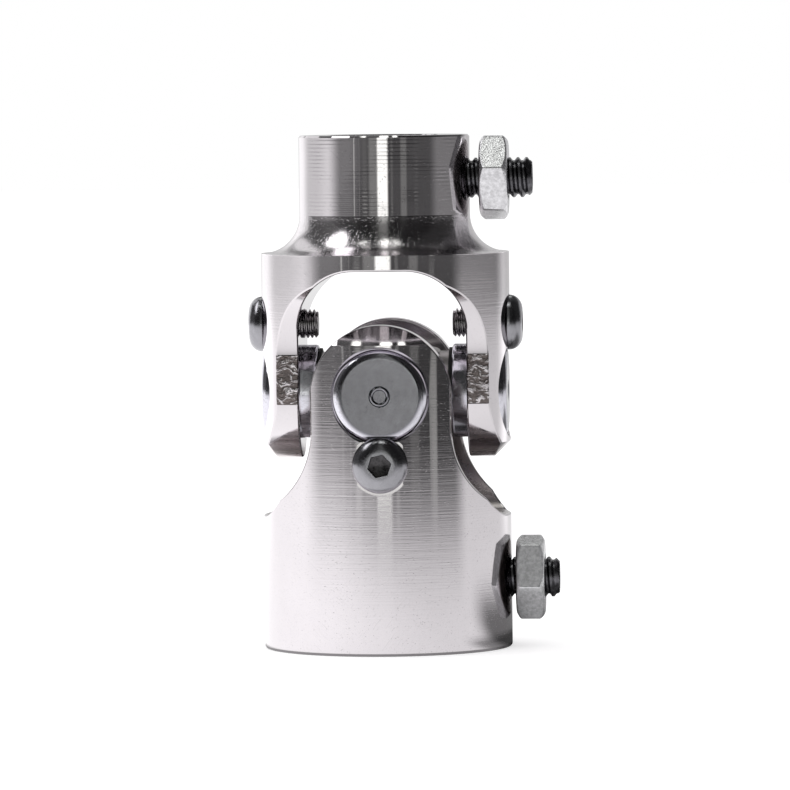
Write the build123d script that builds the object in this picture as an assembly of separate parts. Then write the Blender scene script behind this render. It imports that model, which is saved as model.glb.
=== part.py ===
from build123d import *
import os
from math import asin, cos, pi, radians, sin, sqrt, tan

# A single steering universal joint: two turned and milled steel yokes, each
# with two ears, joined by a cross that turns in needle roller bearings. The
# bearing cups are pressed into the ears and held by button head screws. Each
# yoke takes a splined shaft, which a set screw and its jam nut lock in place.
#
# The joint stands on its lower yoke. The origin is the centre of the lower
# bore's mouth, +Z runs up the shaft line, the lower yoke's ears are at the
# front and rear (-Y and +Y), the upper yoke's at the left and right (-X and
# +X), and both set screws point to the right. All sizes are in millimetres.

# Overall sizes of the two yokes
pivot_height = 42.8
upper_reach = 42.7
yoke_diameter = 41.4
collar_diameter = 28.5
collar_cove_shelf = 0.15
shoulder_wall = 2.65
foot_edge_radius = 0.5
collar_edge_chamfer = 0.3

# Ears, and the slot between them that the other yoke's ears swing in
lower_ear_width = 23.2
upper_ear_width = 22.0
ear_straight_run = 5.8
ear_foot_lift = 0.9
slot_width = 27.8
slot_depth = 20.5
slot_corner_radius = 9.8
tip_chamfer_start = 8.4
tip_chamfer_angle = 45.0
ear_edge_radius = 0.3
sharp_edge_angle = 20.0

# Splined bores, each given by its teeth and the diameters at crest and root
lower_spline_teeth = 48
lower_spline_minor = 24.3
lower_spline_major = 25.3
upper_spline_teeth = 36
upper_spline_minor = 18.0
upper_spline_major = 19.0
spline_crest_share = 0.36
spline_root_share = 0.26
bore_mouth_margin = 0.1
bore_mouth_depth = 0.4

# Bearing cups and what they hold
cup_wall = 1.09
cup_face_inset = 0.3
cup_length = 9.2
cup_floor = 1.6
cup_corner_radius = 1.5
cup_lip_radius = 0.4
cup_mark_outer = 3.0
cup_mark_inner = 2.35
cup_mark_depth = 0.2
cup_seat_chamfer = 0.35
needle_diameter = 1.98
needle_side_gap = 0.1
needle_end_gap = 0.2
disc_thickness = 0.8
disc_edge_inset = 0.2
disc_hole = 2.4

# Cross
journal_diameter = 9.4
journal_end_chamfer = 0.4
journal_centre_diameter = 2.4
journal_centre_depth = 3.0
seal_seat_diameter = 13.2
seal_seat_stand = 1.3
hub_height = 14.4
hub_edge_radius = 1.2
hub_dimple_diameter = 5.0
hub_dimple_depth = 0.9

# Seals between the cups' mouths and their seats on the cross
seal_flange_overlap = 0.5
seal_flange_thickness = 0.45
seal_lip_length = 1.0

# Button head screws that hold the cups in
screw_wall = 1.1
screw_seat_diameter = 10.0
screw_thread_diameter = 4.8
screw_head_diameter = 9.2
screw_head_height = 2.5
screw_head_edge = 0.35
screw_head_flat = 4.4
screw_dome_radius = 3.6
screw_socket_across = 3.175
screw_socket_depth = 1.5
screw_length = 9.1
screw_tip_chamfer = 0.5

# Set screws and jam nuts
set_screw_diameter = 7.3
set_screw_chamfer = 0.8
set_screw_socket_across = 3.97
set_screw_socket_depth = 4.0
set_screw_cup_diameter = 4.0
set_screw_cup_depth = 1.1
set_screw_retreat = 0.65
lower_set_screw_stand = 2.44
lower_set_screw_height = 11.5
upper_set_screw_stand = 3.99
upper_set_screw_drop = 0.65
nut_across = 12.7
nut_thickness = 4.76
nut_chamfer_angle = 30.0
nut_face_share = 0.95
nut_bore_chamfer = 0.5
lower_nut_gap = 0.8
lower_nut_turn = 10.1
upper_nut_gap = 1.7
upper_nut_turn = -14.0

# Fits: the gap on each side
running_clearance = 0.015
end_clearance = 0.05
seal_clearance = 0.1
press_clearance = 0.005
thread_clearance = 0.02

# Sizes that follow from the ones above
yoke_radius = yoke_diameter / 2
collar_radius = collar_diameter / 2
collar_cove_radius = yoke_radius - collar_radius - collar_cove_shelf
shoulder_reach = slot_depth + shoulder_wall
collar_length = upper_reach - shoulder_reach - collar_cove_radius
journal_radius = journal_diameter / 2
cup_bore_radius = journal_radius + needle_diameter + 2 * running_clearance
cup_radius = cup_bore_radius + cup_wall
cup_face_reach = yoke_radius - cup_face_inset
cup_mouth_reach = cup_face_reach - cup_length
cup_floor_reach = cup_face_reach - cup_floor
needle_circle_radius = journal_radius + running_clearance + needle_diameter / 2
needle_count = int(pi / asin((needle_diameter + needle_side_gap) / 2 / needle_circle_radius))
journal_reach = cup_floor_reach - disc_thickness - end_clearance
seal_flange_reach = cup_mouth_reach - seal_clearance
seal_flange_back = seal_flange_reach - seal_flange_thickness
seal_lip_reach = seal_flange_reach + seal_lip_length
seal_seat_reach = seal_flange_back - end_clearance
hub_radius = seal_seat_reach - seal_seat_stand

# The retaining screws stand beside the cups. Their heads seat on the ears and
# lie over the cups' rounded corners, which they clear by the press clearance.
screw_offset = cup_radius + screw_wall + screw_thread_diameter / 2
cup_corner_overlap = max(0, screw_offset - screw_head_diameter / 2 - cup_radius + cup_corner_radius)
cup_corner_rise = sqrt(cup_corner_radius ** 2 - cup_corner_overlap ** 2)
screw_seat_reach = cup_face_reach - cup_corner_radius + cup_corner_rise + press_clearance

# Each jam nut stops short of its yoke, and each set screw short of its shaft.
# The upper set screw stands a little below the middle of the collar.
upper_set_screw_height = pivot_height + upper_reach - collar_length / 2 - upper_set_screw_drop
lower_nut_reach = yoke_radius + lower_nut_gap
upper_nut_reach = collar_radius + upper_nut_gap
lower_set_screw_reach = lower_nut_reach + nut_thickness + lower_set_screw_stand
upper_set_screw_reach = upper_nut_reach + nut_thickness + upper_set_screw_stand
lower_set_screw_point = lower_spline_minor / 2 + set_screw_retreat
upper_set_screw_point = upper_spline_minor / 2 + set_screw_retreat

pivot = Vector(0, 0, pivot_height)
overshoot = 5.0

# One plane for each of the four bearings, with its Z out along the trunnion
# and its X towards the body of the yoke that holds the bearing
stations = {
    "front": Plane(origin=pivot, x_dir=(0, 0, -1), z_dir=(0, -1, 0)),
    "rear": Plane(origin=pivot, x_dir=(0, 0, -1), z_dir=(0, 1, 0)),
    "left": Plane(origin=pivot, x_dir=(0, 0, 1), z_dir=(-1, 0, 0)),
    "right": Plane(origin=pivot, x_dir=(0, 0, 1), z_dir=(1, 0, 0)),
}
lower_stations = ("front", "rear")
upper_stations = ("left", "right")

# The planes of the two set screws, with Z out along +X and X to the front
lower_screw_plane = Plane(origin=(0, 0, lower_set_screw_height), x_dir=(0, -1, 0), z_dir=(1, 0, 0))
upper_screw_plane = Plane(origin=(0, 0, upper_set_screw_height), x_dir=(0, -1, 0), z_dir=(1, 0, 0))

# Each yoke is drawn about the pivot with its body below it and its ears at
# -Y and +Y. The lower one only moves up; the upper one is turned over too.
lower_place = Pos(pivot)
upper_place = Pos(pivot) * Rot(0, 0, 90) * Rot(180, 0, 0)


def turned(outline):
    """Turn a closed outline, drawn in the XZ plane, about the Z axis."""
    return revolve(Plane.XZ * make_face(outline), Axis.Z)


def arc_about(centre, start, end):
    """The short arc from start to end about a centre, in a sketch's plane."""
    middle = Vector(centre) + (Vector(start) + Vector(end) - 2 * Vector(centre)).normalized() * (
        Vector(start) - Vector(centre)).length
    return ThreePointArc(start, middle, end)


def ring(inner, outer, low, high):
    """A plain ring about Z with the given radii and end heights."""
    wall = Pos((inner + outer) / 2, (low + high) / 2) * Rectangle(outer - inner, high - low)
    return revolve(Plane.XZ * wall, Axis.Z)


def rod(radius, low, high):
    """A plain cylinder about Z between two heights."""
    return Pos(0, 0, low) * extrude(Circle(radius), amount=high - low)


def hex_prism(across, low, high, turn=0.0):
    """A hexagonal prism about Z, given by its width across the flats."""
    outline = Rot(0, 0, turn) * RegularPolygon(across / 2, 6, major_radius=False)
    return Pos(0, 0, low) * extrude(outline, amount=high - low)


def ear_tip_outline(reach):
    """The turned cone that bevels the ear tips, up to the given height."""
    inset = (reach - tip_chamfer_start) * tan(radians(tip_chamfer_angle))
    return (yoke_radius, tip_chamfer_start), (yoke_radius - inset, reach)


def lower_blank():
    """The turned blank of the lower yoke: a plain round body."""
    reach = lower_ear_width / 2
    edge_start, edge_end = ear_tip_outline(reach)
    foot = -pivot_height
    outline = Curve() + [
        Line((0, foot), (yoke_radius - foot_edge_radius, foot)),
        arc_about((yoke_radius - foot_edge_radius, foot + foot_edge_radius),
                  (yoke_radius - foot_edge_radius, foot), (yoke_radius, foot + foot_edge_radius)),
        Line((yoke_radius, foot + foot_edge_radius), edge_start),
        Line(edge_start, edge_end),
        Line(edge_end, (0, reach)),
        Line((0, reach), (0, foot)),
    ]
    return turned(outline)


def upper_blank():
    """The turned blank of the upper yoke: a collar, a cove and the body."""
    reach = upper_ear_width / 2
    edge_start, edge_end = ear_tip_outline(reach)
    top = -upper_reach
    cove_start = top + collar_length
    cove_end = -shoulder_reach
    outline = Curve() + [
        Line((0, top), (collar_radius - collar_edge_chamfer, top)),
        Line((collar_radius - collar_edge_chamfer, top), (collar_radius, top + collar_edge_chamfer)),
        Line((collar_radius, top + collar_edge_chamfer), (collar_radius, cove_start)),
        arc_about((collar_radius + collar_cove_radius, cove_start), (collar_radius, cove_start),
                  (collar_radius + collar_cove_radius, cove_end)),
        Line((collar_radius + collar_cove_radius, cove_end), (yoke_radius, cove_end)),
        Line((yoke_radius, cove_end), edge_start),
        Line(edge_start, edge_end),
        Line(edge_end, (0, reach)),
        Line((0, reach), (0, top)),
    ]
    return turned(outline)


def ear_profile(ear_width, body_reach):
    """The round-nosed ear with coves down its sides, seen square on.

    Each cove starts square at the end of the ear's straight side and leaves
    the turned body a little above the floor of the slot.
    """
    half = ear_width / 2
    step = yoke_radius - half
    drop = slot_depth - ear_foot_lift - ear_straight_run
    cove_radius = (step ** 2 + drop ** 2) / (2 * step)
    cove_x = half + cove_radius
    cove_z = -ear_straight_run - cove_radius
    side = max(cove_x, yoke_radius) + overshoot
    foot = -body_reach - overshoot
    outline = Curve() + [
        ThreePointArc((-half, 0), (0, half), (half, 0)),
        Line((half, 0), (half, -ear_straight_run)),
        arc_about((cove_x, -ear_straight_run), (half, -ear_straight_run), (cove_x, cove_z)),
        Line((cove_x, cove_z), (side, cove_z)),
        Line((side, cove_z), (side, foot)),
        Line((side, foot), (-side, foot)),
        Line((-side, foot), (-side, cove_z)),
        Line((-side, cove_z), (-cove_x, cove_z)),
        arc_about((-cove_x, -ear_straight_run), (-cove_x, cove_z), (-half, -ear_straight_run)),
        Line((-half, -ear_straight_run), (-half, 0)),
    ]
    return extrude(Plane.XZ * make_face(outline), amount=yoke_diameter, both=True)


def ear_slot():
    """The slot between the ears, with large corner radii at its floor."""
    height = slot_depth + yoke_radius
    outline = Pos(0, height / 2 - slot_depth) * Rectangle(slot_width, height)
    floor_corners = outline.vertices().sort_by(Axis.Y)[:2]
    outline = fillet(floor_corners, slot_corner_radius)
    return extrude(Plane.YZ * outline, amount=yoke_diameter, both=True)


def spline_cutter(teeth, minor, major, body_reach):
    """The broached form of a splined bore, with its mouth chamfer."""
    pitch = 2 * pi / teeth
    crest = pitch * spline_crest_share / 2
    root = pitch * spline_root_share / 2

    def spot(radius, angle):
        return radius * cos(angle), radius * sin(angle)

    outline = []
    for tooth in range(teeth):
        middle = tooth * pitch
        crest_end = spot(minor / 2, middle + crest)
        root_start = spot(major / 2, middle + pitch / 2 - root)
        root_end = spot(major / 2, middle + pitch / 2 + root)
        outline += [
            ThreePointArc(spot(minor / 2, middle - crest), spot(minor / 2, middle), crest_end),
            Line(crest_end, root_start),
            Line(root_start, root_end),
            Line(root_end, spot(minor / 2, middle + pitch - crest)),
        ]
    form = Face(Wire(outline))
    broached = Pos(0, 0, -body_reach - overshoot) * extrude(form, amount=body_reach + overshoot)
    mouth = Pos(0, 0, -body_reach) * Cone(
        major / 2 + bore_mouth_margin, minor / 2, bore_mouth_depth,
        align=(Align.CENTER, Align.CENTER, Align.MIN))
    return broached + mouth


def is_milled_edge(edge, shape):
    """Whether an edge of the ears is a sharp one that milling left."""
    point = edge.position_at(0.5)
    if point.Z < -slot_depth - ear_edge_radius:
        return False
    if edge.geom_type == GeomType.CIRCLE and abs(edge.center().Z - tip_chamfer_start) < ear_edge_radius:
        return False
    sides = [face for face in shape.faces() if any(side.is_same(edge) for side in face.edges())]
    normals = [side.normal_at(point) for side in sides]
    return len(normals) == 2 and normals[0].get_angle(normals[1]) > sharp_edge_angle


def bored_for_cups(body):
    """Bore both ears for their cups and chamfer the mouths of the bores."""
    bore_radius = cup_radius + press_clearance
    body = body - Plane.XZ.location * rod(bore_radius, -yoke_diameter, yoke_diameter)
    mouths = []
    for edge in body.edges():
        point = edge.position_at(0.5)
        on_bore = abs(Vector(point.X, 0, point.Z).length - bore_radius) < press_clearance
        outside = abs(point.Y) > slot_width / 2 + ear_edge_radius
        if on_bore and outside and edge.geom_type != GeomType.LINE:
            mouths.append(edge)
    return chamfer(mouths, cup_seat_chamfer)


def drilled_for_screws(yoke, names):
    """Spot face the ears and drill them for the retaining screws."""
    for name in names:
        seat = rod(screw_seat_diameter / 2, screw_seat_reach, yoke_diameter)
        hole = rod(screw_thread_diameter / 2 + thread_clearance, 0, yoke_diameter)
        yoke = yoke - stations[name].location * Pos(screw_offset, 0) * (seat + hole)
    return yoke


def yoke_body(blank, ear_width, body_reach, teeth, minor, major):
    """A yoke before its screw holes: ears, slot, cup bores and splined bore."""
    body = blank & ear_profile(ear_width, body_reach)
    body = body - ear_slot()
    body = fillet([edge for edge in body.edges() if is_milled_edge(edge, body)], ear_edge_radius)
    body = bored_for_cups(body)
    return body - spline_cutter(teeth, minor, major, body_reach)


def make_lower_yoke():
    """The lower yoke, in place."""
    body = yoke_body(lower_blank(), lower_ear_width, pivot_height,
                     lower_spline_teeth, lower_spline_minor, lower_spline_major)
    yoke = drilled_for_screws(lower_place * body, lower_stations)
    hole = rod(set_screw_diameter / 2 + thread_clearance, 0, yoke_diameter)
    return yoke - lower_screw_plane.location * hole


def make_upper_yoke():
    """The upper yoke, in place."""
    body = yoke_body(upper_blank(), upper_ear_width, upper_reach,
                     upper_spline_teeth, upper_spline_minor, upper_spline_major)
    yoke = drilled_for_screws(upper_place * body, upper_stations)
    hole = rod(set_screw_diameter / 2 + thread_clearance, 0, yoke_diameter)
    return yoke - upper_screw_plane.location * hole


def make_cross():
    """The cross: a forged hub with four seal seats and ground journals."""
    hub = rod(hub_radius, -hub_height / 2, hub_height / 2)
    hub = fillet(hub.edges(), hub_edge_radius)
    cross = hub
    for plane in (Plane.YZ, Plane.XZ):
        arm = rod(seal_seat_diameter / 2, -seal_seat_reach, seal_seat_reach)
        journal = rod(journal_radius, -journal_reach, journal_reach)
        journal = chamfer(journal.edges(), journal_end_chamfer)
        centres = rod(journal_centre_diameter / 2, journal_reach - journal_centre_depth, journal_reach)
        journal = journal - centres - mirror(centres, Plane.XY)
        cross = cross + plane.location * arm
        cross = cross + plane.location * journal
    dimple = rod(hub_dimple_diameter / 2, hub_height / 2 - hub_dimple_depth, hub_height / 2)
    cross = cross - dimple - mirror(dimple, Plane.XY)
    return Pos(pivot) * cross


def make_cup():
    """A drawn bearing cup, on the station plane."""
    lip = cup_radius - cup_lip_radius
    lip_height = cup_mouth_reach + cup_lip_radius
    corner = cup_radius - cup_corner_radius
    corner_height = cup_face_reach - cup_corner_radius
    outline = Curve() + [
        Line((0, cup_floor_reach), (cup_bore_radius, cup_floor_reach)),
        Line((cup_bore_radius, cup_floor_reach), (cup_bore_radius, cup_mouth_reach)),
        Line((cup_bore_radius, cup_mouth_reach), (lip, cup_mouth_reach)),
        arc_about((lip, lip_height), (lip, cup_mouth_reach), (cup_radius, lip_height)),
        Line((cup_radius, lip_height), (cup_radius, corner_height)),
        arc_about((corner, corner_height), (cup_radius, corner_height), (corner, cup_face_reach)),
        Line((corner, cup_face_reach), (0, cup_face_reach)),
        Line((0, cup_face_reach), (0, cup_floor_reach)),
    ]
    mark = ring(cup_mark_inner / 2, cup_mark_outer / 2, cup_face_reach - cup_mark_depth, cup_face_reach)
    return turned(outline) - mark


def make_needles():
    """The full complement of needle rollers of one bearing."""
    roller = rod(needle_diameter / 2, seal_lip_reach + needle_end_gap, cup_floor_reach - needle_end_gap)
    return [spot * roller for spot in PolarLocations(needle_circle_radius, needle_count)]


def make_disc():
    """The thrust disc between a journal's end and its cup's floor."""
    return ring(disc_hole / 2, journal_radius - disc_edge_inset,
                cup_floor_reach - disc_thickness, cup_floor_reach)


def make_seal():
    """A seal: a flange outside the cup's mouth and a lip inside it."""
    edge = cup_bore_radius + seal_flange_overlap
    flange = ring(journal_radius, edge, seal_flange_back, seal_flange_reach)
    lip = ring(journal_radius, cup_bore_radius - seal_clearance, seal_flange_back, seal_lip_reach)
    return flange + lip


def make_retaining_screw():
    """A button head screw, on the station plane."""
    edge = screw_head_diameter / 2
    flat = screw_head_flat / 2
    outline = Curve() + [
        Line((0, 0), (edge, 0)),
        Line((edge, 0), (edge, screw_head_edge)),
        RadiusArc((edge, screw_head_edge), (flat, screw_head_height), -screw_dome_radius),
        Line((flat, screw_head_height), (0, screw_head_height)),
        Line((0, screw_head_height), (0, 0)),
    ]
    head = turned(outline)
    head = head - hex_prism(screw_socket_across, screw_head_height - screw_socket_depth, screw_head_height)
    shank = rod(screw_thread_diameter / 2, -screw_length, 0)
    tip = shank.edges().sort_by(Axis.Z)[0]
    shank = chamfer(tip, screw_tip_chamfer)
    return Pos(screw_offset, 0, screw_seat_reach) * (head + shank)


def make_set_screw(plane, point, reach):
    """A cup point set screw in its hole, from its point to its socket end."""
    body = rod(set_screw_diameter / 2, point, reach)
    body = chamfer(body.edges().filter_by(GeomType.CIRCLE), set_screw_chamfer)
    body = body - hex_prism(set_screw_socket_across, reach - set_screw_socket_depth, reach)
    cup = Pos(0, 0, point) * Cone(
        set_screw_cup_diameter / 2, 0, set_screw_cup_depth, align=(Align.CENTER, Align.CENTER, Align.MIN))
    return plane.location * (body - cup)


def make_jam_nut(plane, reach, turn):
    """A jam nut with both faces chamfered, on its set screw."""
    corner = nut_across / 2 / cos(radians(30)) + overshoot
    face = nut_across / 2 * nut_face_share
    drop = (corner - face) * tan(radians(nut_chamfer_angle))
    outline = Polyline((0, 0), (face, 0), (corner, drop), (corner, nut_thickness - drop),
                       (face, nut_thickness), (0, nut_thickness), close=True)
    nut = hex_prism(nut_across, 0, nut_thickness, turn) & turned(outline)
    bore_radius = set_screw_diameter / 2 + thread_clearance
    nut = nut - rod(bore_radius, 0, nut_thickness)
    nut = chamfer(nut.edges().filter_by(GeomType.CIRCLE).filter_by(
        lambda edge: edge.radius < bore_radius + nut_bore_chamfer / 2), nut_bore_chamfer)
    return plane.location * Pos(0, 0, reach) * nut


nodes = {
    "lower_yoke": make_lower_yoke(),
    "upper_yoke": make_upper_yoke(),
    "cross": make_cross(),
    "lower_set_screw": make_set_screw(lower_screw_plane, lower_set_screw_point, lower_set_screw_reach),
    "upper_set_screw": make_set_screw(upper_screw_plane, upper_set_screw_point, upper_set_screw_reach),
    "lower_jam_nut": make_jam_nut(lower_screw_plane, lower_nut_reach, lower_nut_turn),
    "upper_jam_nut": make_jam_nut(upper_screw_plane, upper_nut_reach, upper_nut_turn),
}
for name, station in stations.items():
    place = station.location
    nodes["bearing_cup_" + name] = place * make_cup()
    nodes["needle_rollers_" + name] = Compound(children=[place * roller for roller in make_needles()])
    nodes["thrust_disc_" + name] = place * make_disc()
    nodes["trunnion_seal_" + name] = place * make_seal()
    nodes["retaining_screw_" + name] = place * make_retaining_screw()

os.makedirs("parts", exist_ok=True)
for name, shape in nodes.items():
    export_step(shape, "parts/" + name + ".step")
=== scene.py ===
"""Looks of the steering universal joint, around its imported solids.

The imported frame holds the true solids. This script gives every one of them its
finish, winds real threads on the set screws and the retaining screws, rounds
the nuts and the cups, and puts the joint on a pale studio floor. All lengths
are in metres, apart from those of a finish, which are in millimetres unless
they are depths of relief. Angles are in degrees.
"""

from __future__ import annotations

import logging
import math
from dataclasses import dataclass
from enum import Enum

import bmesh
import bpy
from mathutils import Matrix, Vector


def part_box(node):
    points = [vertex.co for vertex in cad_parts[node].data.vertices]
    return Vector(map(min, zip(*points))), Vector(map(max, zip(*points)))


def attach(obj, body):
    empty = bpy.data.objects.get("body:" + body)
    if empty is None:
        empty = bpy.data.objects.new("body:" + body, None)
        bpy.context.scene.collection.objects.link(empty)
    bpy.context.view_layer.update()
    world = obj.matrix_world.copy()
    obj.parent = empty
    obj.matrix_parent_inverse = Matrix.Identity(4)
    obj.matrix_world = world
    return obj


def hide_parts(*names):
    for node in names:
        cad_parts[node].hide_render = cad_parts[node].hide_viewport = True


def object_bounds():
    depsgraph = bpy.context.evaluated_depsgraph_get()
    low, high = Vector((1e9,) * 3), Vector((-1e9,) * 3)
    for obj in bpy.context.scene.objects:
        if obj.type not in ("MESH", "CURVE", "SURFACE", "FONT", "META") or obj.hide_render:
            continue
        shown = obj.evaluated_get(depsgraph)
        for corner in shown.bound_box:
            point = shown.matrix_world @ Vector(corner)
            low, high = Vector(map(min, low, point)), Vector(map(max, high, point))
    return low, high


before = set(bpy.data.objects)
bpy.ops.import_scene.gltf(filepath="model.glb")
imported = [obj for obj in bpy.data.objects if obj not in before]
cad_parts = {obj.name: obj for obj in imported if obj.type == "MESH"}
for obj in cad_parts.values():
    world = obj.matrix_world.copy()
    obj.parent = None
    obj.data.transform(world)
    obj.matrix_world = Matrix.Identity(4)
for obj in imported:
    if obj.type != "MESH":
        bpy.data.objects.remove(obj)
cad_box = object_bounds()

MILLIMETRE = 0.001
MERGE_DISTANCE = 1.0e-6
PHOTO_SIDE = 790
PIVOT_PIXEL = (386.5, 390.6)
HEX_HALF_ANGLE = math.radians(30.0)
QUARTER_TURN = 0.25
UP = Vector((0.0, 0.0, 1.0))
BLACK = (0.0, 0.0, 0.0)
WHITE = (1.0, 1.0, 1.0)

Colour = tuple[float, float, float]
Span = tuple[float, float]
BMesh = bmesh.types.BMesh
Object = bpy.types.Object
Tree = bpy.types.NodeTree
Socket = bpy.types.NodeSocket
Surface = tuple[Socket, Socket, Socket]
Outline = list[tuple[float, float]]
Edges = list[bmesh.types.BMEdge]

log = logging.getLogger("universal_joint")


class Bench:
    """Places and links nodes in one node tree."""

    def __init__(self, tree: Tree) -> None:
        """Work on the given tree."""
        self.tree = tree

    @classmethod
    def cleared(cls, owner: bpy.types.Material | bpy.types.World) -> Bench:
        """Empty the node tree of a material or a world, and return its bench."""
        owner.use_nodes = True
        owner.node_tree.nodes.clear()
        return cls(owner.node_tree)

    def node(self, kind: str, inputs: dict | tuple = (), **settings: object) -> bpy.types.Node:
        """Add a node.

        Args:
            kind: The node's type name.
            inputs: What its inputs are fed, in order or by name.
            **settings: Attributes to set on it first.

        Returns:
            The new node.
        """
        made = self.tree.nodes.new(kind)
        for name, value in settings.items():
            setattr(made, name, value)
        for key, value in inputs.items() if isinstance(inputs, dict) else enumerate(inputs):
            self.feed(made.inputs[key], value)
        return made

    def feed(self, socket: Socket, value: object) -> None:
        """Link a socket to another socket, or set it to a number, a vector or a colour."""
        if isinstance(value, Socket):
            self.tree.links.new(value, socket)
        else:
            socket.default_value = (*value, 1.0) if socket.type == "RGBA" else value

    def end(self, kind: str, shader: bpy.types.Node) -> None:
        """Add the tree's output node and feed it from a shader."""
        self.node(kind, {"Surface": shader.outputs[0]})

    def calc(self, operation: str, *values: object) -> Socket:
        """Return the result of a Math node, its inputs fed in order."""
        return self.node("ShaderNodeMath", values, operation=operation).outputs[0]

    def product(self, first: object, *others: object) -> Socket:
        """Return the product of two or more values."""
        for other in others:
            first = self.calc("MULTIPLY", first, other)
        return first

    def vector(self, operation: str, *values: object) -> Socket:
        """Return the vector that a Vector Math node gives, its inputs fed in order."""
        return self.node("ShaderNodeVectorMath", values, operation=operation).outputs["Vector"]

    def plus(self, base: object, share: object, gain: object) -> Socket:
        """Return a base with a share times a gain added to it."""
        return self.calc("MULTIPLY_ADD", share, gain, base)

    def cells(self, vector: Socket, size: Socket) -> Socket:
        """Return a place counted in cells of one size."""
        return self.vector("DIVIDE", vector, self.join(size, size, size))

    def scaled(self, vector: Socket, factor: object) -> Socket:
        """Return a vector times a factor."""
        inputs = {0: vector, "Scale": factor}
        return self.node("ShaderNodeVectorMath", inputs, operation="SCALE").outputs["Vector"]

    def reach(self, x: object, y: object) -> Socket:
        """Return how far a place is from an axis, from its coordinates across the axis."""
        across = (self.join(x, y, 0.0),)
        return self.node("ShaderNodeVectorMath", across, operation="LENGTH").outputs["Value"]

    def split(self, vector: Socket) -> list[Socket]:
        """Return a vector's three parts."""
        return list(self.node("ShaderNodeSeparateXYZ", (vector,)).outputs)

    def join(self, x: object, y: object, z: object) -> Socket:
        """Return a vector made of three parts."""
        return self.node("ShaderNodeCombineXYZ", (x, y, z)).outputs[0]

    def turn(self, vector: Socket, angles: Colour) -> Socket:
        """Return a vector turned by three angles, in radians."""
        inputs = {"Vector": vector, "Rotation": angles}
        return self.node("ShaderNodeMapping", inputs).outputs[0]

    def coordinates(self, kind: str) -> Socket:
        """Return texture coordinates of one kind."""
        return self.node("ShaderNodeTexCoord").outputs[kind]

    def noise(self, vector: Socket, scale: float, detail: float = 2.0,
              roughness: float = 0.5) -> Socket:
        """Return the value of a Noise Texture, from 0 to 1."""
        inputs = {"Vector": vector, "Scale": scale, "Detail": detail, "Roughness": roughness}
        return self.node("ShaderNodeTexNoise", inputs).outputs[0]

    def ramp(self, value: object, low: object, high: object, first: float = 0.0,
             last: float = 1.0) -> Socket:
        """Map a value smoothly, so that low becomes first and high becomes last."""
        inputs = (value, low, high, first, last)
        return self.node("ShaderNodeMapRange", inputs, interpolation_type="SMOOTHSTEP").outputs[0]

    def band(self, value: object, low: object, high: object, blur: float) -> Socket:
        """Return the mask that is 1 between two values, with soft edges."""
        return Effect.BAND.place(self, Value=value, Low=low, High=high, Blur=blur)

    def around(self, value: object, centre: float, half: float, blur: float) -> Socket:
        """Return the mask that is 1 near a value, with soft edges."""
        return self.band(value, centre - half, centre + half, blur)

    def blend(self, share: object, first: object, second: object) -> Socket:
        """Mix two values: all of the first at share 0, and of the second at 1."""
        return self.plus(first, share, self.calc("SUBTRACT", second, first))

    def rest(self, share: object) -> Socket:
        """Return what a share leaves of 1."""
        return self.calc("SUBTRACT", 1.0, share)

    def mix(self, share: object, first: object, second: object) -> Socket:
        """Mix two colours: all of the first at share 0, and of the second at 1."""
        inputs = {"Factor": share, 6: first, 7: second}
        return self.node("ShaderNodeMix", inputs, data_type="RGBA", clamp_factor=True).outputs[2]

    def bump(self, height: Socket, depth: float, normal: Socket | None = None) -> Socket:
        """Turn a height into a bumped normal.

        Args:
            height: The height, about 0 to 1.
            depth: What a height of 1 measures.
            normal: The normal that is bumped, if not the surface's own.

        Returns:
            The bumped normal.
        """
        inputs = {"Strength": 1.0, "Distance": depth, "Height": height}
        if normal is not None:
            inputs["Normal"] = normal
        return self.node("ShaderNodeBump", inputs).outputs[0]


class Effect(Enum):
    """The shader effects that several finishes share, each a node group."""

    BAND = "soft_band"
    LATHE = "lathe_lines"
    MILL = "mill_marks"
    MOTTLE = "satin_mottle"
    SCRATCH = "fine_scratches"
    SPECKLE = "bright_specks"

    def group(self) -> Tree:
        """Return this effect's node group, built on first use."""
        tree = bpy.data.node_groups.get(self.value)
        if tree is None:
            tree = bpy.data.node_groups.new(self.value, "ShaderNodeTree")
            BUILDERS[self](tree)
        return tree

    def place(self, bench: Bench, **values: object) -> Socket:
        """Place the effect in a material, fed by name, and return its only output."""
        return bench.node("ShaderNodeGroup", values, node_tree=self.group()).outputs[0]


def group_ends(tree: Tree, output: str, **inputs: object) -> tuple[Bench, list, Socket]:
    """Give a node group its sockets.

    Args:
        tree: The group.
        output: The name of its output, a value.
        **inputs: Each input's default by name; None makes a vector input.

    Returns:
        The group's bench, its inputs inside it, and what its output is fed through.
    """
    for name, default in inputs.items():
        kind = "NodeSocketVector" if default is None else "NodeSocketFloat"
        socket = tree.interface.new_socket(name=name, in_out="INPUT", socket_type=kind)
        if default is not None:
            socket.default_value = default
    tree.interface.new_socket(name=output, in_out="OUTPUT", socket_type="NodeSocketFloat")
    bench = Bench(tree)
    start, end = bench.node("NodeGroupInput"), bench.node("NodeGroupOutput")
    return bench, [start.outputs[name] for name in inputs], end.inputs[0]


def build_band(tree: Tree) -> None:
    """Build the mask that is 1 between two values, with soft edges."""
    bench, (value, low, high, blur), out = group_ends(
        tree, "Mask", Value=0.0, Low=0.0, High=1.0, Blur=0.1)
    edges = [bench.calc(way, edge, blur) for edge in (low, high) for way in ("SUBTRACT", "ADD")]
    rises = bench.ramp(value, *edges[:2])
    falls = bench.ramp(value, *edges[2:], first=1.0, last=0.0)
    bench.feed(out, bench.product(rises, falls))


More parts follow.
